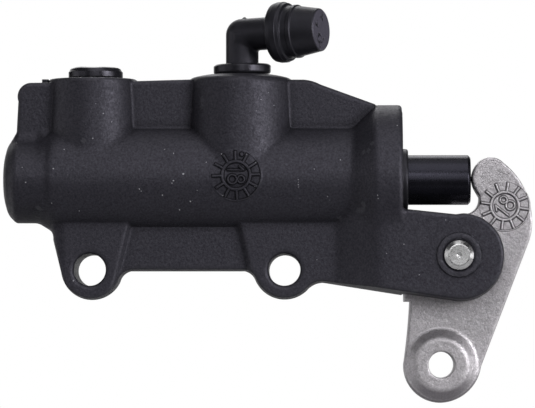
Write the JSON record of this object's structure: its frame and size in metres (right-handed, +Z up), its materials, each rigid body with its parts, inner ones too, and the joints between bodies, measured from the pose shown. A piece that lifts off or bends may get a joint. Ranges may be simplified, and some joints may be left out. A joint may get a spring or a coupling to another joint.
{
  "type": "brake master cylinder",
  "caption": "Lever-operated motorcycle rear brake master cylinder: cast body with mounting lugs, bore with plunger, rocker lever in a clevis, hose elbow and outlet port.",
  "frame": {"origin": "midway between the two mounting holes, on the rear mounting face", "axes": "+X along the bore from its closed end to its mouth and the lever, +Y out of the rear mounting face towards the vehicle frame, +Z up towards the two ports"},
  "size_m": [0.1093, 0.0289, 0.0827],
  "materials": {
    "black_casting": "fine-grained matte charcoal-black coating on a die casting",
    "raw_casting": "raw, tumbled die-cast grey",
    "zinc_steel": "bright zinc plate",
    "dark_spring_steel": "phosphated spring steel",
    "black_rod": "smooth glossy black",
    "black_plastic": "satin moulded",
    "gloss_black_plastic": "glossy moulded",
    "gloss_rubber": "glossy moulded rubber",
    "black_rubber": "satin moulded rubber",
    "pale_nylon": "natural nylon",
    "bronze_bush": "sintered bronze",
    "turned_aluminium": "fine turned"
  },
  "bodies": {
    "body": {"body_casting": "black_casting", "inlet_grommet": "gloss_rubber", "pivot_pin": "zinc_steel", "pin_clip": "dark_spring_steel", "side_washers": "pale_nylon", "return_spring": "dark_spring_steel", "stop_washer": "zinc_steel", "retaining_ring": "dark_spring_steel", "dust_wiper": "black_rubber"},
    "lever": {"lever": "raw_casting", "lever_bush": "bronze_bush"},
    "piston": {"piston": "turned_aluminium", "plunger": "black_rod", "primary_cup": "black_rubber", "secondary_cup": "black_rubber", "cup_shim": "zinc_steel", "spring_seat": "zinc_steel"},
    "elbow": {"elbow_fitting": "black_plastic"},
    "elbow_cap": {"elbow_cap": "black_rubber"},
    "outlet_plug": {"outlet_plug": "gloss_black_plastic"}
  },
  "joints": [
    {"name": "lever_swing", "type": "hinge", "parent": "body", "child": "lever", "pos_m": [0.0557, -0.0134, 0.00285], "axis": [0, -1, 0], "range_deg": [0, 28]},
    {"name": "piston_slide", "type": "slide", "parent": "body", "child": "piston", "axis": [-1, 0, 0], "range_m": [0, 0.0085], "deforming": ["return_spring"]},
    {"name": "elbow_swivel", "type": "hinge", "parent": "body", "child": "elbow", "pos_m": [0.01123, -0.0134, 0.0426], "axis": [0, 0, 1], "continuous": true},
    {"name": "elbow_cap_pull", "type": "slide", "parent": "elbow", "child": "elbow_cap", "axis": [0.913, -0.4065, 0.0349], "range_m": [0, 0.012]},
    {"name": "outlet_plug_pull", "type": "slide", "parent": "body", "child": "outlet_plug", "axis": [0, 0, 1], "range_m": [0, 0.01]}
  ],
  "couplings": [
    {"joint": "piston_slide", "follows": "lever_swing", "m_per_rad": 0.01714}
  ]
}
